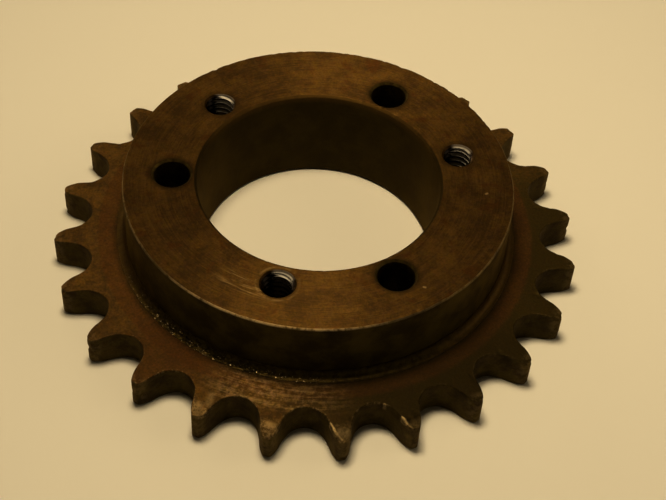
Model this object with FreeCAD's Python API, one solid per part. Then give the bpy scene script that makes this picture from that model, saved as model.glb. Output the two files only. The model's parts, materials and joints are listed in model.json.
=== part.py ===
"""Roller chain sprocket with a hub on one side, bored for a split taper bushing.

The wheel lies on its back face. The origin is the bore axis at that face and +Z points
along the axis towards the hub face. All lengths are in millimetres.
"""

import FreeCAD, Part

import math
import os

from FreeCAD import Vector

# ---- chain and teeth: half inch pitch roller chain, standard two-arc tooth form
CHAIN_PITCH = 12.7
ROLLER_DIAMETER = 7.925
TOOTH_COUNT = 24
PLATE_THICKNESS = 7.21
SEATING_ALLOWANCE = 0.038
TIP_BEVEL_WIDTH = 2.4
TIP_BEVEL_DROP = 0.6
TIP_BACK_BEVEL_DROP = 0.25
FIRST_GAP_ANGLE = 0.0

# ---- hub
HUB_RADIUS = 38.1
WHEEL_HEIGHT = 20.64
HUB_EDGE_CHAMFER = 0.3
SPIGOT_RADIUS = 34.5

# ---- tapered bore: 1 in 16 on the diameter, wide end at the hub face
BORE_RADIUS_AT_HUB_FACE = 23.76
BORE_TAPER_ON_RADIUS = 1.0 / 32.0
BORE_EDGE_CHAMFER = 0.5

# ---- bolt circle: three clearance holes and three tapped holes, all right through
BOLT_CIRCLE_RADIUS = 28.575
HOLES_OF_EACH_KIND = 3
CLEARANCE_HOLE_RADIUS = 3.572
CLEARANCE_HOLE_ANGLE = 62.0
TAPPED_HOLE_RADIUS = 3.175
TAPPED_HOLE_ANGLE = CLEARANCE_HOLE_ANGLE - 45.0
HOLE_EDGE_CHAMFER = 0.4

# ---- welds
FRONT_BEAD_LEG = 1.7
BEAD_TOE = 0.1
BACK_GROOVE_DEPTH = 2.0

PITCH_RADIUS = CHAIN_PITCH / 2 / math.sin(math.pi / TOOTH_COUNT)
OUTSIDE_RADIUS = CHAIN_PITCH / 2 * (0.6 + 1 / math.tan(math.pi / TOOTH_COUNT))
CUT_PAST_FACE = 5.0


def polar(radius, degrees, z=0.0):
    """The point at this radius and angle about the wheel's axis."""
    angle = math.radians(degrees)
    return Vector(radius * math.cos(angle), radius * math.sin(angle), z)


def on_circle(centre, radius, degrees):
    """The point of a circle at this angle, in the plane of the drawing."""
    return centre + polar(radius, degrees)


def circle_meets_outside(centre, radius):
    """Where a topping curve comes out through the outside circle, on the gap's side of the tooth."""
    wheel_centre = Vector(0, -PITCH_RADIUS, 0)
    across = centre - wheel_centre
    distance = across.Length
    along = (OUTSIDE_RADIUS**2 - radius**2 + distance**2) / (2 * distance)
    sideways = math.sqrt(OUTSIDE_RADIUS**2 - along**2)
    direction = across.normalize()
    left = Vector(-direction.y, direction.x, 0)
    return wheel_centre + direction * along + left * sideways


def half_gap():
    """Right half of one tooth gap, with the roller's centre at the origin and +Y pointing outwards.

    The seating curve carries the roller, the working curve and a short straight carry it up the
    flank, and the topping curve rounds the tooth off to its tip.
    """
    step = 180.0 / TOOTH_COUNT
    seat_radius = 0.5025 * ROLLER_DIAMETER + SEATING_ALLOWANCE
    seat_end = 35.0 + 60.0 / TOOTH_COUNT
    working_sweep = 18.0 - 56.0 / TOOTH_COUNT
    working_reach = 0.8 * ROLLER_DIAMETER
    topping_reach = 1.4 * ROLLER_DIAMETER
    straight = topping_reach * math.sin(math.radians(17.0 - 64.0 / TOOTH_COUNT))
    straight -= working_reach * math.sin(math.radians(working_sweep))

    roller = Vector(0, 0, 0)
    working_centre = on_circle(roller, working_reach, 180.0 - seat_end)
    working_radius = working_reach + seat_radius
    working_end = working_sweep - seat_end
    topping_centre = on_circle(roller, topping_reach, -step)

    bottom = on_circle(roller, seat_radius, -90.0)
    seat_middle = on_circle(roller, seat_radius, -(90.0 + seat_end) / 2)
    seat_top = on_circle(roller, seat_radius, -seat_end)
    working_middle = on_circle(working_centre, working_radius, working_end - working_sweep / 2)
    working_top = on_circle(working_centre, working_radius, working_end)
    straight_top = working_top + polar(straight, working_end + 90.0)
    topping_radius = (straight_top - topping_centre).Length
    tip = circle_meets_outside(topping_centre, topping_radius)
    halfway = ((straight_top + tip) * 0.5 - topping_centre).normalize()
    topping_middle = topping_centre + halfway * topping_radius
    return [
        (bottom, seat_middle, seat_top),
        (seat_top, working_middle, working_top),
        (working_top, None, straight_top),
        (straight_top, topping_middle, tip),
    ]


def turned(point, degrees):
    """A point of the gap drawing, moved out to the pitch circle at this angle."""
    out = point + Vector(0, PITCH_RADIUS, 0)
    return FreeCAD.Rotation(Vector(0, 0, 1), degrees - 90.0).multVec(out)


def mirrored(point):
    return Vector(-point.x, point.y, point.z)


def edge(start, middle, end):
    """A straight edge, or an arc through a middle point."""
    if middle is None:
        return Part.makeLine(start, end)
    return Part.Arc(start, middle, end).toShape()


def tooth_outline():
    """The closed outline of all the teeth."""
    step = 360.0 / TOOTH_COUNT
    right = half_gap()
    left = [tuple(p and mirrored(p) for p in reversed(arc)) for arc in reversed(right)]
    edges = []
    for gap in range(TOOTH_COUNT):
        angle = FIRST_GAP_ANGLE - gap * step
        for arc in left + right:
            edges.append(edge(*[p and turned(p, angle) for p in arc]))
        tip = turned(right[-1][2], angle)
        next_tip = turned(left[0][0], angle - step)
        edges.append(edge(tip, polar(OUTSIDE_RADIUS, angle - step / 2), next_tip))
    return Part.Wire(edges)


def ring(section):
    """The solid swept by a closed section, given as (radius, height) points, about the axis."""
    points = [Vector(radius, 0, height) for radius, height in section]
    face = Part.Face(Part.makePolygon(points + points[:1]))
    return face.revolve(Vector(0, 0, 0), Vector(0, 0, 1), 360)


def toothed_plate():
    """The flat plate with the teeth, bored for the hub's spigot and grooved for the back weld."""
    top = PLATE_THICKNESS
    bevel_start = OUTSIDE_RADIUS - TIP_BEVEL_WIDTH
    blank_radius = OUTSIDE_RADIUS + CUT_PAST_FACE
    reach = (blank_radius - bevel_start) / TIP_BEVEL_WIDTH
    rim_drop = TIP_BEVEL_DROP * reach
    back_rim_drop = TIP_BACK_BEVEL_DROP * reach
    blank = ring([
        (SPIGOT_RADIUS + BACK_GROOVE_DEPTH, 0),
        (bevel_start, 0),
        (blank_radius, back_rim_drop),
        (blank_radius, top - rim_drop),
        (bevel_start, top),
        (SPIGOT_RADIUS, top),
        (SPIGOT_RADIUS, BACK_GROOVE_DEPTH),
    ])
    teeth = Part.Face(tooth_outline()).extrude(Vector(0, 0, top))
    return teeth.common(blank)


def bore_radius(z):
    return BORE_RADIUS_AT_HUB_FACE - BORE_TAPER_ON_RADIUS * (WHEEL_HEIGHT - z)


def through_hole(radius, degrees):
    """A cutter for one hole of the bolt circle, with a small chamfer at each mouth."""
    foot = polar(BOLT_CIRCLE_RADIUS, degrees)
    axis = Vector(0, 0, 1)
    mouth = radius + HOLE_EDGE_CHAMFER
    cutter = Part.makeCylinder(radius, WHEEL_HEIGHT, foot, axis)
    low = Part.makeCone(mouth, radius, HOLE_EDGE_CHAMFER, foot, axis)
    high_foot = foot + axis * (WHEEL_HEIGHT - HOLE_EDGE_CHAMFER)
    high = Part.makeCone(radius, mouth, HOLE_EDGE_CHAMFER, high_foot, axis)
    return cutter.fuse([low, high])


def hub():
    """The hub: a tapered ring with a spigot that passes through the plate."""
    top = WHEEL_HEIGHT
    chamfer = BORE_EDGE_CHAMFER
    body = ring([
        (bore_radius(chamfer), chamfer),
        (bore_radius(chamfer) + chamfer, 0),
        (SPIGOT_RADIUS - BACK_GROOVE_DEPTH, 0),
        (SPIGOT_RADIUS, BACK_GROOVE_DEPTH),
        (SPIGOT_RADIUS, PLATE_THICKNESS),
        (HUB_RADIUS, PLATE_THICKNESS),
        (HUB_RADIUS, top - HUB_EDGE_CHAMFER),
        (HUB_RADIUS - HUB_EDGE_CHAMFER, top),
        (bore_radius(top - chamfer) + chamfer, top),
        (bore_radius(top - chamfer), top - chamfer),
    ])
    spacing = 360.0 / HOLES_OF_EACH_KIND
    for index in range(HOLES_OF_EACH_KIND):
        turn = index * spacing
        body = body.cut(through_hole(CLEARANCE_HOLE_RADIUS, CLEARANCE_HOLE_ANGLE + turn))
        body = body.cut(through_hole(TAPPED_HOLE_RADIUS, TAPPED_HOLE_ANGLE + turn))
    return body


def front_weld_bead():
    """The dressed fillet weld in the corner between the hub's wall and the plate's face."""
    foot = PLATE_THICKNESS
    radius = FRONT_BEAD_LEG - BEAD_TOE
    corner = Vector(HUB_RADIUS, 0, foot)
    plate_toe = corner + Vector(FRONT_BEAD_LEG, 0, 0)
    plate_lip = plate_toe + Vector(0, 0, BEAD_TOE)
    hub_toe = corner + Vector(0, 0, FRONT_BEAD_LEG)
    hub_lip = hub_toe + Vector(BEAD_TOE, 0, 0)
    hollow_centre = corner + Vector(FRONT_BEAD_LEG, 0, FRONT_BEAD_LEG)
    diagonal = Vector(-1, 0, -1).normalize() * radius
    section = Part.Wire([
        Part.makeLine(corner, plate_toe),
        Part.makeLine(plate_toe, plate_lip),
        edge(plate_lip, hollow_centre + diagonal, hub_lip),
        Part.makeLine(hub_lip, hub_toe),
        Part.makeLine(hub_toe, corner),
    ])
    return Part.Face(section).revolve(Vector(0, 0, 0), Vector(0, 0, 1), 360)


def back_weld_bead():
    """The weld that fills the groove around the spigot, faced off flush with the back."""
    return ring([
        (SPIGOT_RADIUS - BACK_GROOVE_DEPTH, 0),
        (SPIGOT_RADIUS + BACK_GROOVE_DEPTH, 0),
        (SPIGOT_RADIUS, BACK_GROOVE_DEPTH),
    ])


def one_solid(shape):
    """The single solid inside a shape that a cut or a common may have wrapped."""
    solids = shape.Solids
    assert len(solids) == 1 and solids[0].isValid()
    return solids[0]


def main():
    os.makedirs("parts", exist_ok=True)
    for make in (toothed_plate, hub, front_weld_bead, back_weld_bead):
        solid = one_solid(make())
        solid.exportStep(f"parts/{make.__name__}.step")
        print(make.__name__, round(solid.Volume, 1), solid.BoundBox)


main()
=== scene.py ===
import json
import math

import bmesh
import bpy
import numpy as np
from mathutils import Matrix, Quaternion, Vector, noise


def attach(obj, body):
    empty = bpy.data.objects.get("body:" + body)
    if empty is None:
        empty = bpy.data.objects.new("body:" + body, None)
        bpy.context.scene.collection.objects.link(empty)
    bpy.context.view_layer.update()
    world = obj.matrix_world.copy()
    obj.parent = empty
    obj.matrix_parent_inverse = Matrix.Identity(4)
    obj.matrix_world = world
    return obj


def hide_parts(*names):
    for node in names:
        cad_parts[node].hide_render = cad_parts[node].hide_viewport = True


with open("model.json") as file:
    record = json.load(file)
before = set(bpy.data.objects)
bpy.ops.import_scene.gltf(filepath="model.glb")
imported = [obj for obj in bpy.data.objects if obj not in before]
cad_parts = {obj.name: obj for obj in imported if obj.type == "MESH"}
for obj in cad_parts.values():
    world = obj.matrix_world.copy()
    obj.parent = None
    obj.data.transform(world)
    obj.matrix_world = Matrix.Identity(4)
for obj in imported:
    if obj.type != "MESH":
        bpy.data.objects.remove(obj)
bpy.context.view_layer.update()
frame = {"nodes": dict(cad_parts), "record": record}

MM = 0.001
SHARP_ANGLE = 32            # edges that bend more than this are shaded sharp


# ------------------------------------------------------------------ sizes in millimetres
def node_points(node):
    """Every corner of a CAD node's mesh, in millimetres."""
    mesh = frame["nodes"][node].data
    points = np.zeros(len(mesh.vertices) * 3, np.float32)
    mesh.vertices.foreach_get("co", points)
    return points.reshape(-1, 3).astype(float) / MM


def mount(name):
    """The record's mount of this name."""
    return next(m for m in frame["record"]["mounts"] if m["name"] == name)


plate_points = node_points("toothed_plate")
hub_points = node_points("hub")
bead_points = node_points("front_weld_bead")
plate_radii = np.hypot(plate_points[:, 0], plate_points[:, 1])
hub_radii = np.hypot(hub_points[:, 0], hub_points[:, 1])

PLATE = plate_points[:, 2].max()
OUTSIDE = plate_radii.max()
SPIGOT = plate_radii.min()
HUB = hub_radii.max()
HEIGHT = hub_points[:, 2].max()
BEAD_LEG = bead_points[:, 2].max() - PLATE
BORE_TOP = mount("taper_bore")["dims"]["r_mm"]
BORE_TAPER = 1 / 32
BOLT_CIRCLE = mount("clearance_holes")["dims"]["pcd_mm"] / 2
CLEARANCE = mount("clearance_holes")["dims"]["hole_r_mm"]
TAPPED = mount("tapped_holes")["dims"]["hole_r_mm"]
CLEARANCE_ANGLE, TAPPED_ANGLE = 62.0, 17.0
GROOVE = 2.0                # depth of the groove that the back weld fills
EDGE_CHAMFER = 0.5          # at both ends of the bore
RIM_CHAMFER = 0.22          # round the hub's outer corner
MOUTH_CHAMFER = 0.4         # at the clearance holes

TEETH = 24
TOOTH_ANGLE = 360 / TEETH
PITCH = 12.7
ROLLER = 7.925
PITCH_RADIUS = PITCH / 2 / math.sin(math.pi / TEETH)
BEVEL_WIDTH = 2.4           # of the tooth tips, in from the outside
BEVEL_DROP = 0.6
BACK_BEVEL_DROP = 0.25

FINE_STEP = 0.04            # spacing of the points that the tooth outline is first drawn with
PLATE_RING = 43.0           # the plate's loops are circles inside this radius
FLANK_FILL = 0.20           # the teeth are fuller than the standard form by this,
SEAT_FILL = 0.35            # and by this much more where a gap's bottom meets the front face
TIP_FILL = 0.22             # the tips reach past the outside radius by this at most,
BACK_TIP_WEAR = 0.6         # and stay this much shorter at the back of the wheel
EDGE_ROUNDING = 0.22        # of the teeth's front edges
BACK_ROUNDING = 0.15        # of their back edges
NO_EDGE = 6.0               # the "edge" value of points that are far from any edge
SEAT_REACH = 44.6           # the extra fill at the gaps' bottoms fades out from this radius,
TIP_REACH = 49.5            # and edges get sharper out from this one

THREAD_PITCH = 1.27
THREAD_CREST = 2.55
THREAD_START = {17.0: 0.2, 137.0: 0.75, 257.0: 0.45}    # in turns, by the hole's angle
MOUTH_RADIUS = {17.0: 3.2, 137.0: 3.2, 257.0: 3.45}     # of the tapped holes, by angle


# ------------------------------------------------------------------ helpers for meshes
def new_piece(name, points, faces, attributes=None):
    """A mesh object from points in millimetres.

    attributes gives a mesh attribute's name and its number at each point.
    """
    mesh = bpy.data.meshes.new(name)
    corners = [tuple(int(i) for i in face) for face in faces]
    mesh.from_pydata([tuple(p * MM) for p in points], [], corners)
    mesh.validate()
    mesh.update()
    for key, values in (attributes or {}).items():
        layer = mesh.attributes.new(key, "FLOAT", "POINT")
        layer.data.foreach_set("value", np.asarray(values, np.float32))
    piece = bpy.data.objects.new(name, mesh)
    bpy.context.scene.collection.objects.link(piece)
    return piece


def shade(piece):
    """Shades a piece smooth, apart from its sharp edges."""
    mesh = piece.data
    mesh.polygons.foreach_set("use_smooth", [True] * len(mesh.polygons))
    mesh.set_sharp_from_angle(angle=math.radians(SHARP_ANGLE))
    mesh.update()


def loops_to_faces(rows, columns, close_rows=False):
    """Quads between closed loops of points: rows loops of columns points each.

    With close_rows the last loop is joined to the first, which closes a ring.
    """
    faces = []
    last = rows if close_rows else rows - 1
    for row in range(last):
        below, above = row * columns, (row + 1) % rows * columns
        for i in range(columns):
            j = (i + 1) % columns
            faces.append((below + i, below + j, above + j, above + i))
    return faces


def noise_at(points, size, seed, octaves=3):
    """Smooth noise in about -1 to 1 with features of this size in millimetres."""
    offset = Vector((seed * 17.3, seed * 5.1, seed * 9.7))
    return np.array([
        noise.fractal(Vector(p) / size + offset, 1.0, 2.0, octaves, noise_basis="PERLIN_ORIGINAL")
        for p in points
    ])


def dent(points, centre, radius, push):
    """Pushes the points near centre by push, fading to nothing at radius."""
    away = np.linalg.norm(points - np.array(centre), axis=1) / radius
    near = away < 1
    points[near] += np.outer((1 - away[near] ** 2) ** 2, push)


def polar(radius, degrees, z=0.0):
    """The point at this radius and angle about the wheel's axis."""
    angle = math.radians(degrees)
    return np.array([radius * math.cos(angle), radius * math.sin(angle), z])


def thirds(degrees):
    """This angle and the two that lie a third of a turn further on."""
    return [degrees + 120 * k for k in range(3)]


# ------------------------------------------------------------------ toothed plate
def arc(centre, radius, start, end):
    """Points on an arc from the start angle up to, but without, the end angle."""
    count = max(3, int(abs(end - start) * radius / FINE_STEP))
    angles = np.linspace(start, end, count, endpoint=False)
    x, y = centre[0] + radius * np.cos(angles), centre[1] + radius * np.sin(angles)
    return np.stack([x, y], 1)


def half_gap():
    """Right half of a tooth gap in the two-arc form.

    The roller's centre is the origin, and +Y points outwards.
    """
    step = math.pi / TEETH
    seat = 0.5025 * ROLLER + 0.038
    seat_end = math.radians(35 + 60 / TEETH)
    sweep = math.radians(18 - 56 / TEETH)
    working = 0.8 * ROLLER
    topping = 1.4 * ROLLER
    working_centre = working * np.array([-math.cos(seat_end), math.sin(seat_end)])
    working_end = sweep - seat_end
    topping_centre = topping * np.array([math.cos(step), -math.sin(step)])
    outwards = np.array([math.cos(working_end), math.sin(working_end)])
    along = np.array([-math.sin(working_end), math.cos(working_end)])
    top = working_centre + (working + seat) * outwards
    straight = topping * math.sin(math.radians(17 - 64 / TEETH)) - working * math.sin(sweep)
    run = top + along * np.arange(0, straight, FINE_STEP)[:, None]
    start = top + along * straight - topping_centre
    radius = np.hypot(*start)
    first = math.atan2(start[1], start[0])
    tip = arc(topping_centre, radius, first, first - math.radians(110))
    inside = np.hypot(tip[:, 0], tip[:, 1] + PITCH_RADIUS) < OUTSIDE
    return np.concatenate([
        arc((0, 0), seat, -math.pi / 2, -seat_end),
        arc(working_centre, working + seat, -seat_end, working_end),
        run,
        tip[:np.argmin(inside)],
    ])


def smooth_loop(points, spread):
    """A closed line of evenly spaced points, its corners rounded over about spread millimetres."""
    closed = np.concatenate([points, points[:1]])
    length = np.concatenate([[0], np.cumsum(np.hypot(*np.diff(closed, axis=0).T))])
    count = int(length[-1] / FINE_STEP)
    at = np.linspace(0, length[-1], count, endpoint=False)
    even = np.stack([np.interp(at, length, closed[:, k]) for k in (0, 1)], 1)
    half = int(4 * spread / FINE_STEP)
    weights = np.exp(-0.5 * (np.arange(-half, half + 1) * FINE_STEP / spread) ** 2)
    weights /= weights.sum()
    wrapped = np.concatenate([even[-half:], even, even[:half]])
    return np.stack([np.convolve(wrapped[:, k], weights, "valid") for k in (0, 1)], 1)


def tooth_outline():
    """The outline of all the teeth and its outward normals, with closer points where it bends."""
    right = half_gap()
    left = right[::-1] * (-1, 1)
    gap = np.concatenate([left[:-1], right]) + (0, PITCH_RADIUS)
    lines = []
    for index in range(TEETH):
        turn = 2 * math.pi * index / TEETH - math.pi / 2
        across = np.array([math.cos(turn), math.sin(turn)])
        up = np.array([-math.sin(turn), math.cos(turn)])
        placed = gap[::-1, :1] * across + gap[::-1, 1:] * up
        lines.append(placed)
        first = math.atan2(placed[-1, 1], placed[-1, 0])
        tip_width = 2 * (2 * math.pi / TEETH * (index + 0.5) - first)
        tip_width = (tip_width + math.pi) % (2 * math.pi) - math.pi
        lines.append(arc((0, 0), OUTSIDE, first, first + tip_width))
    fine = smooth_loop(np.concatenate(lines), 0.10)
    ahead, behind = np.roll(fine, -1, 0), np.roll(fine, 1, 0)
    tangent = ahead - behind
    tangent /= np.hypot(*tangent.T)[:, None]
    normal = np.stack([tangent[:, 1], -tangent[:, 0]], 1)
    span = 3
    bend = np.abs(np.cross(tangent, np.roll(tangent, -span, 0))) / (span * FINE_STEP)
    half = 6
    wrapped = np.concatenate([bend[-half:], bend, bend[:half]])
    bend = np.convolve(wrapped, np.ones(2 * half + 1) / (2 * half + 1), "valid")
    per_mm = 1 / 0.4 + np.minimum(bend * 2.2, 8)
    run = np.concatenate([[0], np.cumsum(per_mm * FINE_STEP)])
    per_tooth = int(round(run[-1] / TEETH))
    wanted = np.linspace(0, run[-1], per_tooth * TEETH, endpoint=False)
    index = np.interp(wanted, run, np.arange(len(run))).astype(int) % len(fine)
    return fine[index], normal[index]


def bevel(xy):
    """How far each point lies out along the tips' bevel: 0 before it, 1 at the outside."""
    past = np.hypot(*xy.T) - (OUTSIDE - BEVEL_WIDTH)
    return (past + np.sqrt(past ** 2 + 0.01)) / 2 / BEVEL_WIDTH


def plate_top(xy):
    """Height of the plate's top face at these points. Its bevel is worn deepest at the front."""
    angle = np.degrees(np.arctan2(xy[:, 1], xy[:, 0]))
    drop = BEVEL_DROP * (1 + 0.7 * np.exp(-((angle + 88) / 14) ** 2))
    return PLATE - drop * bevel(xy)


def plate_back(xy):
    """Height of the plate's back face at these points."""
    return BACK_BEVEL_DROP * bevel(xy)


def toothed_plate():
    """The plate with its teeth, as loops that go out over the front, down the wall and back in.

    Every loop has a point at each point of the tooth outline. The mesh attribute "edge" is the
    distance from the teeth's edges in millimetres, which the finish uses for wear.
    """
    outline, normal = tooth_outline()
    columns = len(outline)
    angle = np.arctan2(outline[:, 1], outline[:, 0])
    flat = np.stack([np.cos(angle), np.sin(angle)], 1)
    rim = np.concatenate([flat * OUTSIDE, np.zeros((columns, 1))], 1)
    out = np.hypot(*outline.T)[:, None]
    near_tip = np.clip((out - TIP_REACH) / 2, 0, 1)
    seat = 1 - np.clip((out - SEAT_REACH) / 2.2, 0, 1) ** 2
    fill = noise_at(rim, 9, 3)[:, None] * 0.05 + FLANK_FILL + SEAT_FILL * seat
    outline = outline + normal * fill
    reach = OUTSIDE + TIP_FILL - BACK_TIP_WEAR * np.clip((np.sin(angle) - 0.3) / 0.3, 0, 1)
    outline = outline * np.minimum(1, reach / np.hypot(*outline.T))[:, None]
    lower = outline - normal * SEAT_FILL * seat
    rounding = (EDGE_ROUNDING + 0.08 * noise_at(rim, 5, 4)[:, None]) * (1 - 0.45 * near_tip)
    inset = outline - normal * rounding
    lower_inset = lower - normal * BACK_ROUNDING

    loops, edge = [], []

    def add(xy, z, distance):
        """Adds a loop, with its points' distance from the teeth's edges."""
        loops.append(np.concatenate([xy, np.broadcast_to(z, (columns,))[:, None]], 1))
        edge.append(np.broadcast_to(distance, (columns,)))

    def face_rings(inset, height, count):
        """Rings of one face, count of them up to the bevel's crease and three beyond it."""
        reach = np.hypot(*inset.T)
        crease = np.minimum(OUTSIDE - BEVEL_WIDTH, reach - 0.25)
        first = (crease - PLATE_RING) / (reach - PLATE_RING)
        steps = [k / count * first for k in range(1, count + 1)]
        steps += [first + (1 - first) * k / 4 for k in range(1, 4)]
        rings = []
        for t in steps:
            xy = flat * PLATE_RING * (1 - t)[:, None] + inset * t[:, None]
            rings.append((xy, height(xy), np.hypot(*(xy - inset).T)))
        return rings

    for radius in (SPIGOT, 37.6, 38.6, 39.3, 40.0, 40.8, 41.6, 42.3, PLATE_RING):
        add(flat * radius, PLATE, NO_EDGE)
    for ring in face_rings(inset, plate_top, 11):
        add(*ring)
    quarter = [k / 3 * math.pi / 2 for k in range(4)]
    for turn in quarter:
        xy = outline - normal * rounding * (1 - math.sin(turn))
        add(xy, plate_top(inset) - rounding[:, 0] * (1 - math.cos(turn)), 0)
    high = plate_top(inset) - rounding[:, 0]
    low = plate_back(inset) + BACK_ROUNDING
    rows = 13
    for k in range(1, rows):
        z = high + (low - high) * k / rows
        add(outline + (lower - outline) * k / rows, z, np.minimum(high - z, z - low))
    for turn in reversed(quarter):
        xy = lower - normal * BACK_ROUNDING * (1 - math.sin(turn))
        add(xy, low - BACK_ROUNDING * math.cos(turn), 0)
    for ring in reversed(face_rings(lower_inset, plate_back, 6)):
        add(*ring)
    for radius in (PLATE_RING, 41.0, SPIGOT + GROOVE):
        add(flat * radius, 0.0, NO_EDGE)
    add(flat * (SPIGOT + 0.02), GROOVE, NO_EDGE)

    points = np.concatenate(loops)
    faces = [f[::-1] for f in loops_to_faces(len(loops), columns, close_rows=True)]
    for centre, radius, push in plate_dents():
        dent(points, centre, radius, push)
    return new_piece("plate_with_teeth", points, faces, {"edge": np.concatenate(edge)})


def plate_dents():
    """Knocks on the teeth, as a centre, a radius and a push. The first five are large."""
    dents = [
        (polar(51.2, -68.6, PLATE - 0.4), 1.5, polar(-0.35, -67.5, -0.45)),
        (polar(50.2, -66.2, PLATE - 0.1), 1.1, polar(-0.1, -67.5, -0.35)),
        (polar(51.6, -97.9, PLATE - 0.8), 1.3, polar(-0.3, -97.5, -0.3)),
        (polar(51.4, -82.2, PLATE - 0.8), 1.4, polar(-0.25, -82.5, -0.35)),
        (polar(51.5, -112.9, PLATE - 0.8), 1.2, polar(-0.25, -112.5, -0.25)),
    ]
    draw = np.random.default_rng(24)
    for tooth in range(TEETH):
        centre = TOOTH_ANGLE * (tooth + 0.5)
        for _ in range(5):
            at = centre + draw.uniform(-0.9, 0.9)
            z = draw.choice([PLATE - 0.9, PLATE - 1.0, 3.6, 1.0])
            radius, depth = draw.uniform(0.5, 1.1), draw.uniform(0.08, 0.28)
            dents.append((polar(OUTSIDE - 0.05, at, z), radius, polar(-depth, at)))
        for _ in range(4):
            side = draw.choice([-1, 1])
            at = centre + side * draw.uniform(2.2, 3.4)
            where = polar(draw.uniform(45.5, 49), at, PLATE)
            radius, depth = draw.uniform(0.4, 0.9), draw.uniform(0.05, 0.15)
            dents.append((where, radius, np.array([0, 0, -depth])))
    return dents


# ------------------------------------------------------------------ turned parts
def rounded_section(corners, spacing):
    """Points along a closed section of (radius, height, rounding) corners.

    A corner with a rounding becomes a curve that starts and ends that far from it.
    """
    line = []
    for i, (r, z, rounding) in enumerate(corners):
        here = np.array([r, z])
        if rounding <= 0:
            line.append(here)
            continue
        before = np.array(corners[i - 1][:2]) - here
        after = np.array(corners[(i + 1) % len(corners)][:2]) - here
        start = here + before / np.hypot(*before) * rounding
        end = here + after / np.hypot(*after) * rounding
        for t in (0, 0.25, 0.5, 0.75, 1.0):
            line.append((1 - t) ** 2 * start + 2 * t * (1 - t) * here + t * t * end)
    filled = []
    for i, a in enumerate(line):
        b = line[(i + 1) % len(line)]
        pieces = max(1, int(round(np.hypot(*(b - a)) / spacing)))
        filled += [a + (b - a) * k / pieces for k in range(pieces)]
    return np.array(filled)


def lathe_points(section, segments):
    """Loops of a turned part: one loop of segments points for each point of the section."""
    angle = np.linspace(0, 2 * math.pi, segments, endpoint=False)
    x, y = np.cos(angle), np.sin(angle)
    return np.concatenate([np.stack([r * x, r * y, np.full(segments, z)], 1) for r, z in section])


def bore_radius(z):
    """Radius of the tapered bore at this height."""
    return BORE_TOP - BORE_TAPER * (HEIGHT - z)


def hub_body():
    """The hub before its holes are cut, with an uneven rim and small knocks round rim and bore."""
    chamfer = EDGE_CHAMFER
    section = rounded_section([
        (bore_radius(chamfer), chamfer, 0.1),
        (bore_radius(chamfer) + chamfer, 0, 0.1),
        (SPIGOT - GROOVE, 0, 0),
        (SPIGOT, GROOVE, 0),
        (SPIGOT, PLATE, 0),
        (HUB, PLATE, 0),
        (HUB, HEIGHT - RIM_CHAMFER, 0.08),
        (HUB - RIM_CHAMFER, HEIGHT, 0.08),
        (bore_radius(HEIGHT - chamfer) + chamfer, HEIGHT, 0.15),
        (bore_radius(HEIGHT - chamfer), HEIGHT - chamfer, 0.15),
    ], 0.8)
    segments = 512
    points = lathe_points(section, segments)
    radius = np.hypot(points[:, 0], points[:, 1])
    rim = (np.abs(radius - HUB + 0.25) < 0.6) & (np.abs(points[:, 2] - HEIGHT + 0.25) < 0.6)
    wear = noise_at(points[rim], 4, 7)
    outward = points[rim] * (1, 1, 0) / radius[rim][:, None]
    at_right = np.clip(outward @ polar(1, -25), 0, 1) ** 4
    points[rim] -= (outward + (0, 0, 1)) * (0.02 + 0.03 * wear + 0.03 * at_right)[:, None]
    draw = np.random.default_rng(76)
    for _ in range(70):
        at = draw.uniform(0, 360)
        where = polar(HUB - draw.uniform(0, 0.5), at, HEIGHT - draw.uniform(0, 0.4))
        push = polar(-draw.uniform(0.02, 0.12), at, -draw.uniform(0.02, 0.1))
        dent(points, where, draw.uniform(0.4, 1.1), push)
    for _ in range(40):
        at = draw.uniform(0, 360)
        where = polar(BORE_TOP + draw.uniform(0, 0.6), at, HEIGHT - draw.uniform(0, 0.3))
        dent(points, where, draw.uniform(0.4, 0.8), (0, 0, -draw.uniform(0.04, 0.12)))
    faces = loops_to_faces(len(section), segments, close_rows=True)
    return new_piece("turned_hub", points, faces)


def turned_cutter(section, angle):
    """A turned volume on the bolt circle, closed at both ends of its section."""
    segments = 64
    points = lathe_points(section, segments) + polar(BOLT_CIRCLE, angle)
    faces = loops_to_faces(len(section), segments)
    faces.append(tuple(reversed(range(segments))))
    faces.append(tuple(range((len(section) - 1) * segments, len(section) * segments)))
    return new_piece("cutter", points, faces)


def clearance_cutter(angle):
    """A plain drilled hole's volume, wider at both mouths."""
    wide = CLEARANCE + 1 + MOUTH_CHAMFER
    section = [(0.001, -1), (wide, -1), (CLEARANCE, MOUTH_CHAMFER)]
    section += [(CLEARANCE, z) for z in np.linspace(1.2, HEIGHT - 1.2, 12)]
    section += [(CLEARANCE, HEIGHT - MOUTH_CHAMFER), (wide, HEIGHT + 1), (0.001, HEIGHT + 1)]
    return turned_cutter(section, angle)


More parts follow.
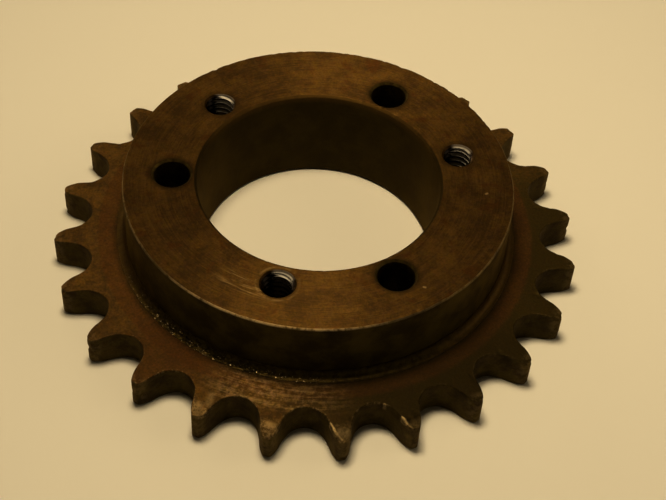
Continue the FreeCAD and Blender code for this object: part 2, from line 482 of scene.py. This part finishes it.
def thread_cutter(angle):
    """The volume of a tapped hole's thread, wound as one helix with flat roots and crests.

    It is a comb of rows points for each of the segments round the axis. The last comb meets the
    first one a turn further up, and a fan of triangles closes each end.
    """
    pitch, crest = THREAD_PITCH, THREAD_CREST
    root = TAPPED - 0.08
    profile = [
        (0.0, root), (0.12, root), (0.17, root - 0.05), (0.52, crest + 0.10),
        (0.58, crest + 0.03), (0.66, crest), (0.84, crest), (0.92, crest + 0.03),
        (0.98, crest + 0.10), (1.19, root - 0.05),
    ]
    start = THREAD_START[angle] * pitch
    segments = 56
    turns = int(HEIGHT / pitch) + 4
    per_turn = len(profile)
    rows = turns * per_turn
    points = []
    for i in range(segments):
        turn = 2 * math.pi * i / segments
        for k in range(rows):
            up, radius = profile[k % per_turn]
            z = start + (k // per_turn - 2) * pitch + up + pitch * i / segments
            points.append((radius * math.cos(turn), radius * math.sin(turn), z))
    faces = []
    for i in range(segments - 1):
        for k in range(rows - 1):
            a, b = i * rows + k, (i + 1) * rows + k
            faces.append((a, b, b + 1, a + 1))
    seam = (segments - 1) * rows
    for k in range(rows - 1 - per_turn):
        faces.append((seam + k, k + per_turn, k + per_turn + 1, seam + k + 1))
    bottom_loop = [i * rows for i in range(segments)] + list(range(per_turn, 0, -1))
    top_loop = [i * rows + rows - 1 for i in range(segments)]
    top_loop += [seam + k for k in range(rows - 2, rows - 2 - per_turn, -1)]
    centre_low, centre_high = len(points), len(points) + 1
    low_z = min(points[i][2] for i in bottom_loop) - 0.5
    high_z = max(points[i][2] for i in top_loop) + 0.5
    points += [(0, 0, low_z), (0, 0, high_z)]
    for a, b in zip(bottom_loop, bottom_loop[1:] + bottom_loop[:1]):
        faces.append((centre_low, b, a))
    for a, b in zip(top_loop, top_loop[1:] + top_loop[:1]):
        faces.append((centre_high, a, b))
    points = np.array(points) + polar(BOLT_CIRCLE, angle)
    return new_piece("cutter", points, faces)


def mouth_cutter(angle):
    """The cones that open both mouths of a tapped hole, joined by a thin rod."""
    wide = MOUTH_RADIUS[angle]
    rod = 1.0
    section = [
        (0.001, -1), (wide + 1, -1), (wide, 0), (rod, wide - rod), (rod, HEIGHT - wide + rod),
        (wide, HEIGHT), (wide + 1, HEIGHT + 1), (0.001, HEIGHT + 1),
    ]
    return turned_cutter(section, angle)


def cut(piece, cutters):
    """Cuts the cutters out of the piece, one after another, and deletes them."""
    for cutter in cutters:
        step = piece.modifiers.new("cut", "BOOLEAN")
        step.object = cutter
        step.operation = "DIFFERENCE"
        step.solver = "MANIFOLD"
        graph = bpy.context.evaluated_depsgraph_get()
        before = piece.data
        piece.data = bpy.data.meshes.new_from_object(piece.evaluated_get(graph))
        piece.modifiers.clear()
        bpy.data.meshes.remove(before)
        bpy.data.meshes.remove(cutter.data)
    merge_slivers(piece)


def merge_slivers(piece):
    """Merges the hair-thin faces that cuts leave along their edges."""
    width = 0.002 * MM
    mesh = bmesh.new()
    mesh.from_mesh(piece.data)
    bmesh.ops.remove_doubles(mesh, verts=mesh.verts, dist=width)
    bmesh.ops.dissolve_degenerate(mesh, dist=width, edges=mesh.edges)
    mesh.to_mesh(piece.data)
    mesh.free()


def front_bead():
    """The fillet weld at the hub's foot: hollow and rippled, with grease at the front left."""
    leg, toe = BEAD_LEG, 0.1
    sunk = 0.05
    steps = 15
    segments = 900
    radius = leg - toe
    section = [(HUB - sunk, PLATE + leg)]
    for k in range(steps):
        turn = math.radians(180 + 90 * k / (steps - 1))
        r, z = HUB + leg + radius * math.cos(turn), PLATE + leg + radius * math.sin(turn)
        section.append((r, z))
    section += [(HUB + leg, PLATE - sunk), (HUB - sunk, PLATE - sunk)]
    points = lathe_points(section, segments)
    surface = np.zeros(len(section), bool)
    surface[1:steps + 1] = True
    surface = np.repeat(surface, segments)
    on = points[surface]
    angle = np.degrees(np.arctan2(on[:, 1], on[:, 0]))
    out = on * (1, 1, 0) / np.hypot(on[:, 0], on[:, 1])[:, None]
    place = np.repeat(np.linspace(0, 1, steps), segments)
    lean = place[:, None]
    direction = out * (1 - lean) + np.array([0, 0, 1]) * lean
    direction /= np.linalg.norm(direction, axis=1)[:, None]
    middle = 4 * place * (1 - place)
    greasy = np.exp(-((angle + 118) / 26) ** 2)
    smooth = noise_at(on, 7, 11, 2) * 0.12 + noise_at(on, 1.6, 12, 3) * 0.04
    rough = np.maximum(noise_at(on, 0.55, 13, 4), -0.15) * 0.55
    lift = smooth * middle + rough * greasy * (0.15 + 0.85 * middle)
    points[surface] += direction * lift[:, None]
    faces = [f[::-1] for f in loops_to_faces(len(section), segments, close_rows=True)]
    return new_piece("front_weld", points, faces)


def back_bead():
    """The groove weld at the back, faced off flush with fine turning lines."""
    gap = 0.02
    segments = 256
    section = rounded_section([
        (SPIGOT - GROOVE + gap, 0, 0), (SPIGOT + GROOVE - gap, 0, 0), (SPIGOT, GROOVE - gap, 0),
    ], 0.25)
    on_back = section[:, 1] < 0.01
    section[on_back, 1] += 0.02 * (1 - np.cos(section[on_back, 0] * 12))
    faces = loops_to_faces(len(section), segments, close_rows=True)
    return new_piece("back_weld", lathe_points(section, segments), faces)


# ------------------------------------------------------------------ node graphs written as sums
class Value:
    """A node's output that can be added, multiplied and compared in Python."""

    def __init__(self, graph, socket):
        self.graph, self.socket = graph, socket

    def __add__(self, other):
        return self.graph.math("ADD", self, other)

    def __sub__(self, other):
        return self.graph.math("SUBTRACT", self, other)

    def __rsub__(self, other):
        return self.graph.math("SUBTRACT", other, self)

    def __mul__(self, other):
        return self.graph.math("MULTIPLY", self, other)

    def __truediv__(self, other):
        return self.graph.math("DIVIDE", self, other)

    def __pow__(self, other):
        return self.graph.math("POWER", self, other)

    __radd__, __rmul__ = __add__, __mul__

    def abs(self):
        return self.graph.math("ABSOLUTE", self)

    def ramp(self, low, high):
        """0 below low, 1 above high, and smooth between. High may be below low."""
        node = self.graph.node("ShaderNodeMapRange", interpolation_type="SMOOTHSTEP")
        flip = high < low
        self.graph.put(node, "Value", self)
        self.graph.put(node, "From Min", min(low, high))
        self.graph.put(node, "From Max", max(low, high))
        self.graph.put(node, "To Min", 1.0 if flip else 0.0)
        self.graph.put(node, "To Max", 0.0 if flip else 1.0)
        return Value(self.graph, node.outputs["Result"])

    def band(self, low, high, soft):
        """1 between low and high, fading to 0 over soft outside them."""
        return self.ramp(low - soft, low) * self.ramp(high + soft, high)


class Graph:
    """A material's nodes. Positions in it are in millimetres."""

    def __init__(self, name):
        self.material = bpy.data.materials.new(name)
        self.material.use_nodes = True
        self.tree = self.material.node_tree
        self.shader = self.tree.nodes["Principled BSDF"]
        place = self.node("ShaderNodeTexCoord").outputs["Object"]
        scaled = self.node("ShaderNodeVectorMath", operation="SCALE")
        self.tree.links.new(place, scaled.inputs[0])
        scaled.inputs["Scale"].default_value = 1 / MM
        self.place = scaled.outputs[0]
        self.x, self.y, self.z = self.parts(self.place)
        self.r = (self.x * self.x + self.y * self.y) ** 0.5
        self.cos, self.sin = self.x / self.r, self.y / self.r
        geometry = self.node("ShaderNodeNewGeometry")
        self.east, self.north, self.up = self.parts(geometry.outputs["Normal"])

    def node(self, kind, **settings):
        """A new node of this kind, with its settings."""
        made = self.tree.nodes.new(kind)
        for key, value in settings.items():
            setattr(made, key, value)
        return made

    def put(self, node, key, value):
        """Gives a node's input a number, a colour or another node's output."""
        if isinstance(value, Value):
            self.tree.links.new(value.socket, node.inputs[key])
        elif isinstance(value, tuple):
            wide = len(node.inputs[key].default_value)
            node.inputs[key].default_value = value if len(value) == wide else (*value, 1.0)
        else:
            node.inputs[key].default_value = value

    def parts(self, socket):
        """The X, Y and Z of a vector."""
        split = self.node("ShaderNodeSeparateXYZ")
        self.tree.links.new(socket, split.inputs[0])
        return [Value(self, out) for out in split.outputs]

    def math(self, operation, *values):
        """The result of a math node."""
        made = self.node("ShaderNodeMath", operation=operation)
        for index, value in enumerate(values):
            self.put(made, index, value)
        return Value(self, made.outputs[0])

    def attribute(self, name):
        """A mesh attribute's number."""
        return Value(self, self.node("ShaderNodeAttribute", attribute_name=name).outputs["Fac"])

    def noise(self, size, detail=4, rough=0.6, warp=0.0, vector=None):
        """Noise from 0 to 1 with features of this size in millimetres."""
        made = self.node("ShaderNodeTexNoise")
        self.tree.links.new(vector or self.place, made.inputs["Vector"])
        self.put(made, "Scale", 1 / size)
        self.put(made, "Detail", float(detail))
        self.put(made, "Roughness", rough)
        self.put(made, "Distortion", warp)
        return Value(self, made.outputs["Fac"])

    def streaks(self, across, along, seed=0.0, detail=3):
        """Noise in lines round the axis, as a lathe leaves them, with sizes in millimetres."""
        join = self.node("ShaderNodeCombineXYZ")
        reach = 40.0 / along
        for key, value in zip("XYZ", (self.cos * reach, self.sin * reach, self.r / across + seed)):
            self.put(join, key, value)
        return self.noise(1.0, detail, 0.6, 0.0, join.outputs[0])

    def mix(self, factor, first, second):
        """The first colour where factor is 0, and the second where it is 1."""
        made = self.node("ShaderNodeMix", data_type="RGBA")
        made.clamp_factor = True
        for key, value in ((0, factor), (6, first), (7, second)):
            self.put(made, key, value)
        return Value(self, made.outputs[2])

    def tint(self, colour, amount):
        """A colour made lighter or darker by a number."""
        made = self.node("ShaderNodeVectorMath", operation="SCALE")
        self.put(made, 0, colour)
        self.put(made, "Scale", amount)
        return Value(self, made.outputs[0])

    def hues(self, colour, size, red=0.35, blue=1.6):
        """A colour whose red and blue wander by noise of this size in millimetres."""
        scale = self.node("ShaderNodeCombineXYZ")
        self.put(scale, "X", (self.noise(size, 4, 0.6, 0.3) - 0.5) * red + 1.0)
        self.put(scale, "Y", 1.0)
        self.put(scale, "Z", (self.noise(size * 0.7, 4, 0.6) - 0.5) * blue + 1.0)
        made = self.node("ShaderNodeVectorMath", operation="MULTIPLY")
        self.put(made, 0, colour)
        self.tree.links.new(scale.outputs[0], made.inputs[1])
        return Value(self, made.outputs[0])

    def stroke(self, start, end, width, ragged=0.0):
        """1 on a straight mark between two (radius, angle) ends, fading to 0 on either side."""
        a, b = polar(*start), polar(*end)
        along = b - a
        size = float(np.hypot(along[0], along[1]))
        ux, uy = along[0] / size, along[1] / size
        dx, dy = self.x - a[0], self.y - a[1]
        run = self.math("MINIMUM", self.math("MAXIMUM", dx * ux + dy * uy, 0.0), size)
        off_x, off_y = dx - run * ux, dy - run * uy
        away = (off_x * off_x + off_y * off_y) ** 0.5 + ragged
        return away.ramp(width * 1.3, width * 0.1)

    def hole_distance(self, angle):
        """Distance from the nearest axis of three holes on the bolt circle."""
        turn = self.math("ARCTAN2", self.sin, self.cos) - math.radians(angle - 60)
        third = 2 * math.pi / 3
        folded = self.math("FLOORED_MODULO", turn, third) - math.radians(60)
        away = self.r * self.math("COSINE", folded) - BOLT_CIRCLE
        aside = self.r * self.math("SINE", folded)
        return (away * away + aside * aside) ** 0.5

    def towards(self, degrees, width):
        """1 at this angle round the axis, fading to 0 at width degrees away."""
        angle = math.radians(degrees)
        along = self.cos * math.cos(angle) + self.sin * math.sin(angle)
        return along.ramp(math.cos(math.radians(width)), 1.0)

    def finish(self, colour, rough, metal, bump, depth, turned=0.0):
        """The material. depth is the bump's in millimetres, and turned stretches highlights."""
        shader = self.shader
        self.put(shader, "Base Color", colour)
        self.put(shader, "Roughness", rough)
        self.put(shader, "Metallic", metal)
        self.put(shader, "Specular Tint", SHEEN)
        lift = self.node("ShaderNodeBump")
        self.put(lift, "Height", bump)
        self.put(lift, "Distance", depth * MM)
        self.tree.links.new(lift.outputs["Normal"], shader.inputs["Normal"])
        if turned:
            self.put(shader, "Anisotropic", turned)
            self.put(shader, "Anisotropic Rotation", 0.25)
            round_axis = self.node("ShaderNodeTangent", direction_type="RADIAL", axis="Z")
            self.tree.links.new(round_axis.outputs[0], shader.inputs["Tangent"])
        return self.material


# ------------------------------------------------------------------ finishes
OCHRE = (0.125, 0.071, 0.017)
BROWN = (0.058, 0.032, 0.010)
RED = (0.078, 0.030, 0.007)
OLIVE = (0.058, 0.041, 0.008)
BLACK = (0.020, 0.0125, 0.004)
BRIGHT = (0.40, 0.29, 0.14)
RIM_METAL = (0.60, 0.46, 0.27)
TOOTH_METAL = (0.52, 0.40, 0.22)
WELD_GLINT = (0.8, 0.66, 0.42)
OIL_DARK, OIL_LIGHT = (0.05, 0.039, 0.042), (0.11, 0.088, 0.090)
# Thread colours: dark and light oily steel, painted light on the upward flanks, and painted glints.
THREAD_LIT_FLANK, THREAD_GLINT = (0.42, 0.37, 0.35), (0.98, 0.96, 0.96)
SHEEN = (1.0, 0.74, 0.32)


def hub_finish():
    """The turned face and walls: oily and rusty, dark round the holes, and bright at the worn rim,
    with painted light and shade that move the face's highlights and lighten the walls to the left
    and right.
    """
    g = Graph("hub_steel")
    top = HEIGHT
    blotch = g.noise(7.0, 5, 0.62, 0.4)
    mottle = g.noise(1.3, 5, 0.7)
    grain = g.noise(0.45, 3, 0.6)
    turning = g.streaks(0.3, 8.0)
    patina = (blotch * 0.45 + mottle * 0.32 + turning * 0.23).ramp(0.37, 0.63)
    face = g.mix(patina, BROWN, OCHRE)
    face = g.mix(g.noise(4.0, 4, 0.6, 0.5).ramp(0.55, 0.68) * 0.6, face, RED)
    # Painted light and shade: the face is lighter round 65° and darker round -112°, which moves its
    # highlight lobes.
    painted_highlight_shift = g.towards(65, 60) * 0.12 - g.towards(-112, 32) * 0.14
    face = g.tint(g.hues(face, 1.2), (0.38 + grain * 1.0 + turning * 0.3) * (painted_highlight_shift + 1.02))
    clear, tapped = g.hole_distance(CLEARANCE_ANGLE), g.hole_distance(TAPPED_ANGLE)
    face = g.mix(clear.ramp(5.2, 3.6) * 0.8, face, BLACK)
    face = g.mix(tapped.ramp(4.6, 3.0) * 0.45, face, BLACK)
    burr = tapped.band(3.9, 4.1, 0.25) * g.towards(-110, 18) * g.noise(1.5, 2).ramp(0.35, 0.6)
    face = g.mix(burr * 0.25, face, BRIGHT)
    scrape = g.towards(-114, 12) * g.r.band(29.8, 32.2, 1.2)
    scrape = scrape * g.streaks(0.45, 6.0, 5.0, 2).ramp(0.48, 0.70)
    face = g.mix(scrape * 0.40, face, BRIGHT)
    for radius, angle in ((33.5, -53.0), (32.6, -3.5)):
        fleck = g.stroke((radius, angle), (radius + 0.2, angle + 0.3), 0.3)
        face = g.mix(fleck * 0.8, face, BRIGHT)

    in_bore = g.r.ramp(BORE_TOP + 0.9, BORE_TOP + 0.5)
    stain = g.noise(5.0, 4, 0.6).ramp(0.35, 0.65)
    wall = g.mix(stain * (1.0 - in_bore * 0.6) + in_bore * 0.3, OLIVE, BLACK)
    at_back = g.sin.ramp(0.1, 0.8)
    wall = g.mix(in_bore * g.z.ramp(top - 2.2, top - 0.4) * at_back * 0.55, wall, OCHRE)
    # Painted light: the walls are lighter to the left and right, and the outer wall at the front
    # right, where more light falls.
    outside = g.towards(-28, 26) * (1.0 - in_bore)
    painted_light_walls = g.math("MAXIMUM", g.cos.abs().ramp(0.75, 1.0), outside)
    wall = g.tint(wall, (0.7 + mottle * 0.6) * (painted_light_walls * 0.3 + 1.08))
    on_face = g.up.ramp(0.75, 0.97)
    colour = g.mix(on_face, wall, face)
    lip = in_bore * g.z.ramp(top - 0.7, top - 0.3) * g.up.ramp(0.97, 0.8)
    colour = g.mix(lip * (1.0 - at_back) * 0.7, colour, BLACK)

    rim = g.z.ramp(top - 0.65, top - 0.3) * g.up.ramp(0.985, 0.9) * g.r.ramp(HUB - 0.9, HUB - 0.6)
    front = g.math("MAXIMUM", g.towards(-103, 42) * 0.62, g.towards(-162, 30) * 0.28)
    right = g.towards(-20, 60) * 0.42
    colour = g.mix(rim * at_back * 0.6, colour, OLIVE)
    worn = rim * (g.noise(1.5, 4, 0.7).ramp(0.30, 0.58) * 0.9 + 0.2)
    worn = worn * g.math("MINIMUM", front + right * 0.45, 1.0)
    colour = g.mix(worn, colour, RIM_METAL)
    rough = 0.50 + mottle * 0.16 - worn * 0.12
    metal = 0.75 - worn * 0.45
    height = g.streaks(0.25, 60.0, 7.0, 2) * 0.4 + mottle * 0.4 + grain * 0.4
    return g.finish(colour, rough, metal, height, 0.09, 0.62)


def hole_finish():
    """The clearance holes' walls: oily, with painted shade that makes them darker further down."""
    g = Graph("hole_steel")
    # Painted shade: darker further down the hole.
    high = g.z.ramp(HEIGHT - 5.5, HEIGHT - 0.5)
    colour = g.mix(g.noise(1.2, 4, 0.6).ramp(0.3, 0.7), BLACK, OLIVE)
    return g.finish(g.tint(colour, 0.4 + high * 0.8), 0.45, 0.5, g.noise(0.6, 3), 0.03)


def thread_finish():
    """Oily threads, with painted glints on the flanks that face up and to the front left, painted
    light on the upward flanks, and painted shade further down and on walls that face +X.
    """
    g = Graph("thread_steel")
    high = g.z.ramp(HEIGHT - 5.5, HEIGHT - 0.8)
    oily = g.noise(1.0, 4, 0.6).ramp(0.35, 0.65)
    colour = g.mix(oily, OIL_DARK, OIL_LIGHT)
    first_turn = g.z.ramp(HEIGHT - 1.3, HEIGHT - 1.1)
    # Painted glints: bright, less metallic patches on flanks that face up and to the front left,
    # weaker deep in the holes at the front.
    facing = g.east * -0.36 - g.north * 0.93
    painted_glint = facing.ramp(0.38, 0.45) * (1.0 - first_turn) + facing.ramp(0.44, 0.60) * first_turn
    painted_glint = painted_glint * g.up.ramp(0.5, 0.8) * g.noise(0.8, 3).ramp(0.2, 0.42)
    painted_glint = painted_glint * g.math("MAXIMUM", first_turn, g.sin.ramp(-0.5, 0.0) * 0.65 + 0.15)
    # Painted light on the upward flanks, and painted shade further down and on walls that face +X.
    colour = g.mix(g.up.ramp(0.5, 0.85) * 0.18, colour, THREAD_LIT_FLANK)
    colour = g.tint(colour, (0.55 + high * 0.45) * (1.0 - g.east.ramp(0.05, 0.35) * 0.9))
    colour = g.mix(painted_glint, colour, THREAD_GLINT)
    mouth = g.z.ramp(HEIGHT - 0.4, HEIGHT - 0.25)
    colour = g.mix(mouth * 0.8, colour, BROWN)
    rough = 0.17 + oily * 0.10 + mouth * 0.2
    return g.finish(colour, rough, 1.0 - painted_glint * 0.75, g.noise(0.5, 2), 0.01)


# marks where knocks have rubbed the teeth bright: two (radius, angle) ends, half width, strength
TOOTH_MARKS = (
    ((48.7, -84.8), (50.4, -83.9), 0.28, 0.9),
    ((50.4, -83.9), (51.6, -82.6), 0.34, 0.6),
    ((50.6, -82.9), (50.7, -81.6), 0.9, 0.38),
    ((49.8, -97.8), (50.1, -96.6), 0.8, 0.35),
    ((51.0, -97.2), (51.6, -97.4), 0.4, 0.3),
    ((45.9, -72.2), (46.1, -72.1), 0.30, 0.4),
    ((49.4, -69.6), (50.6, -68.9), 0.24, 1.0),
    ((50.5, -68.8), (51.9, -68.2), 0.24, 0.3),
    ((50.0, -113.0), (51.3, -112.2), 1.1, 0.30),
    ((46.9, -111.6), (48.9, -111.2), 0.9, 0.22),
)


def worn_marks(g):
    """1 where the front teeth are rubbed bright: the marks above, and specks at the tips, which
    also paint the lamp's highlight on the front bevels.
    """
    ragged = (g.noise(0.9, 4, 0.7) - 0.5) * 0.9
    # The specks at the front tips are worn steel and partly a painted highlight.
    tips = g.towards(-101, 26) * g.r.ramp(48.0, 50.8) * g.noise(0.9, 5, 0.75).ramp(0.42, 0.60)
    marks = tips * 0.42
    for start, end, width, strength in TOOTH_MARKS:
        marks = g.math("MAXIMUM", marks, g.stroke(start, end, width, ragged) * strength)
    return marks * g.z.ramp(5.4, 6.2)


def plate_finish():
    """Rust, olive out at the right, painted shade by the weld and in the hub's shadow at the front
    right, painted light at the left, and bright at worn edges, which also paint highlights at the
    front.
    """
    g = Graph("plate_steel")
    edge = g.attribute("edge")
    blotch = g.noise(5.0, 5, 0.62, 0.5)
    mottle = g.noise(1.2, 5, 0.7)
    grain = g.noise(0.45, 3, 0.6)
    streak = g.streaks(0.5, 7.0)
    patina = (blotch * 0.45 + mottle * 0.45 + streak * 0.1).ramp(0.37, 0.63)
    face = g.mix(patina, BROWN, OCHRE)
    ring = g.r.band(40.6, 43.2, 0.8)
    face = g.mix(ring * 0.5, face, RED)
    # Past 43 mm at the right the steel is olive; the same mask darkens it further down as painted
    # shade.
    right = (g.cos * 0.87 - g.sin * 0.50).ramp(0.40, 0.78)
    olive_and_shade = g.r.ramp(42.9, 43.9) * right
    face = g.mix(olive_and_shade * 0.9, face, OLIVE)
    # Painted shade at the foot of the hub and weld.
    foot = g.r.ramp(41.2, 39.9)
    face = g.mix(foot * 0.5, face, BLACK)
    # Worn steel at the front, which is also a painted highlight where the lamp's reflection falls.
    worn = g.towards(-97, 21) * g.r.band(41.0, 45.6, 1.6)
    worn = worn * (streak * 0.45 + mottle * 0.55).ramp(0.42, 0.62)
    face = g.mix(worn * 0.5, face, BRIGHT)
    face = g.mix(g.towards(-127, 14) * 0.45, face, RED)
    face = g.tint(g.hues(face, 1.2, 0.5, 1.6), 0.30 + grain * 1.4)
    # Painted shadow of the hub over the plate's front right.
    hub_shadow_paint = g.math("MAXIMUM", g.towards(-60, 46), g.towards(-20, 50) * 0.45)
    # Painted light and shade by place: lighter at the left and darker over the olive zone at the
    # right; also darker round -128°.
    left = (g.cos * -1.0).ramp(0.7, 0.95)
    shade_by_place = left * 0.10 - olive_and_shade * 0.18 - g.towards(-128, 16) * 0.16 + 1.04
    face = g.tint(face, (1.0 - hub_shadow_paint * 0.60) * shade_by_place)
    flank = g.mix(g.noise(3.0, 4, 0.6).ramp(0.35, 0.7), OLIVE, BLACK)
    # Painted shade: the flanks are darker at the right.
    flank = g.tint(g.hues(flank, 1.5), (0.5 + grain * 1.3) * (1.05 - g.cos.ramp(0.7, 1.0) * 0.3))
    colour = g.mix(g.up.ramp(0.25, 0.7), flank, face)
    rubbed = edge.ramp(0.3, 0.0) * g.noise(0.8, 3, 0.7).ramp(0.48, 0.66) * g.z.ramp(4.5, 5.8)
    # The rub is stronger at the front, which partly paints the lamp's highlight on the front
    # bevels.
    rubbed = rubbed * (0.06 + g.towards(-105, 40) * 0.24)
    rubbed = rubbed + g.r.ramp(49.8, 51.4) * mottle.ramp(0.42, 0.6) * 0.12
    marks = worn_marks(g) * ((mottle * 0.5 + grain * 0.5).ramp(0.3, 0.55) * 0.8 + 0.2)
    bright = g.math("MINIMUM", g.math("MAXIMUM", rubbed, marks), 1.0)
    colour = g.mix(bright, colour, TOOTH_METAL)
    rough = 0.56 + mottle * 0.2 - bright * 0.12
    height = streak * 0.1 + mottle * 0.7 + grain * 0.6
    return g.finish(colour, rough, 0.6 - bright * 0.2, height, 0.10, 0.2)


def weld_finish():
    """Dark oily weld metal, with a painted highlight at its right and left, and painted glints in
    the grease at the front left.
    """
    g = Graph("weld_steel")
    mottle = g.noise(1.1, 5, 0.65)
    colour = g.mix(mottle.ramp(0.35, 0.65), BLACK, OLIVE)
    # Painted highlight: the weld is lighter at the right and the left.
    side = g.math("MAXIMUM", g.cos.ramp(0.4, 1.0), g.cos.ramp(-0.7, -0.95) * 0.6)
    colour = g.hues(g.mix(side * 0.6, colour, OCHRE), 1.0)
    glint = g.noise(0.45, 3, 0.7).ramp(0.60, 0.68) * g.towards(-120, 42) * g.r.band(39.0, 39.8, 0.5)
    colour = g.mix(glint, colour, WELD_GLINT)
    return g.finish(colour, 0.42 - glint * 0.1, 0.6, g.noise(0.3, 3), 0.05)


def paint_hub(piece, outside, hole, thread):
    """Gives the hub's faces their finishes, by how near they are to a hole of either kind."""
    mesh = piece.data
    mesh.materials.clear()
    for finish in (outside, hole, thread):
        mesh.materials.append(finish)
    kinds = ((1, CLEARANCE_ANGLE, CLEARANCE), (2, TAPPED_ANGLE, TAPPED))
    holes = [
        (kind, polar(BOLT_CIRCLE, degrees)[:2], radius + MOUTH_CHAMFER + 0.02)
        for kind, angle, radius in kinds for degrees in thirds(angle)
    ]
    for face in mesh.polygons:
        centre = np.array(face.center)[:2] / MM
        face.material_index = 0
        if abs(face.normal.z) >= 0.98:
            continue
        for kind, middle, reach in holes:
            if np.hypot(*(centre - middle)) < reach:
                face.material_index = kind


# ------------------------------------------------------------------ pieces
plate = toothed_plate()
hub = hub_body()
cutters = []
for clear_at, tapped_at in zip(thirds(CLEARANCE_ANGLE), thirds(TAPPED_ANGLE)):
    cutters += [clearance_cutter(clear_at), thread_cutter(tapped_at), mouth_cutter(tapped_at)]
cut(hub, cutters)
bead = front_bead()
back = back_bead()

weld = weld_finish()
paint_hub(hub, hub_finish(), hole_finish(), thread_finish())
plate.data.materials.append(plate_finish())
bead.data.materials.append(weld)
back.data.materials.append(weld)
for piece, node, slot in (
    (plate, "toothed_plate", "plate_steel"),
    (hub, "hub", "hub_steel"),
    (bead, "front_weld_bead", "weld_steel"),
    (back, "back_weld_bead", "weld_steel"),
):
    shade(piece)
    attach(piece, "root")
    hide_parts(node)


# ------------------------------------------------------------------ floor, light, camera: metres
PAPER = (0.8, 0.8, 0.8, 1)
LAMP_COLOUR = (1, 0.797, 0.467)
ROOM_COLOUR, ROOM_STRENGTH = (1, 0.66, 0.25, 1), 0.02

LENS, SENSOR = 78.03, 36
CAMERA_PLACE = Vector((0, -0.19942, 0.21912))
CAMERA_AIM = Vector((0.00366, -0.00007, 0))
CAMERA_ROLL = math.radians(3.89)


def make_floor():
    """A round paper floor that curves up into a low wall far away from the wheel."""
    flat, curve, height = 1.1, 0.4, 0.9
    segments = 96
    turns = [math.radians(10 * k) for k in range(1, 10)]
    section = [(0.002, 0), (0.6, 0), (flat, 0)]
    section += [(flat + curve * math.sin(t), curve * (1 - math.cos(t))) for t in turns]
    section.append((flat + curve, height))
    points = lathe_points([(r / MM, z / MM) for r, z in section], segments)
    faces = loops_to_faces(len(section), segments)
    faces.append(tuple(range(segments)))
    piece = new_piece("floor", points, faces)
    shade(piece)
    paper = bpy.data.materials.new("paper")
    paper.use_nodes = True
    shader = paper.node_tree.nodes["Principled BSDF"]
    shader.inputs["Base Color"].default_value = PAPER
    shader.inputs["Roughness"].default_value = 0.7
    piece.data.materials.append(paper)


def area_light(name, place, aim, size, energy, stretch=1.0):
    """A round lamp, or an oval one that is stretch times as long in its own Y direction."""
    lamp = bpy.data.lights.new(name, "AREA")
    lamp.shape = "ELLIPSE"
    lamp.size = size
    lamp.size_y = size * stretch
    lamp.energy = energy
    lamp.color = LAMP_COLOUR
    holder = bpy.data.objects.new(name, lamp)
    holder.location = place
    holder.rotation_mode = "QUATERNION"
    holder.rotation_quaternion = (Vector(aim) - Vector(place)).to_track_quat("-Z", "Y")
    bpy.context.scene.collection.objects.link(holder)


def make_light():
    """A lamp nearly overhead, weak ones at the side and behind, and four for the far wall."""
    area_light("lamp", (-0.020, 0.018, 0.36), (0.13, 0.06, 0), size=0.102, energy=1.20, stretch=1.3)
    area_light("side", (0.75, 0.12, 0.50), (0, 0, 0), size=0.5, energy=0.8)
    area_light("behind", (-0.45, 0.75, 0.22), (0, 0, 0), size=0.5, energy=0.9)
    for k in range(4):
        place, aim = polar(0.4, 45 + 90 * k, 0.6), polar(1.5, 45 + 90 * k, 0.15)
        area_light(f"wall_{k}", place, aim, size=0.3, energy=2.1)
    world = bpy.data.worlds.new("room")
    bpy.context.scene.world = world
    world.use_nodes = True
    background = world.node_tree.nodes["Background"]
    background.inputs["Color"].default_value = ROOM_COLOUR
    background.inputs["Strength"].default_value = ROOM_STRENGTH


def make_camera():
    """A camera that looks down at the wheel from the front, turned a little about its own axis."""
    data = bpy.data.cameras.new("camera")
    data.lens = LENS
    data.sensor_width = SENSOR
    camera = bpy.data.objects.new("camera", data)
    camera.location = CAMERA_PLACE
    camera.rotation_mode = "QUATERNION"
    facing = (CAMERA_AIM - CAMERA_PLACE).to_track_quat("-Z", "Y")
    camera.rotation_quaternion = facing @ Quaternion((0, 0, 1), CAMERA_ROLL)
    bpy.context.scene.collection.objects.link(camera)
    bpy.context.scene.camera = camera


make_floor()
make_light()
make_camera()
view = bpy.context.scene.view_settings
view.view_transform = "Standard"
view.gamma = 0.8

bpy.context.view_layer.update()
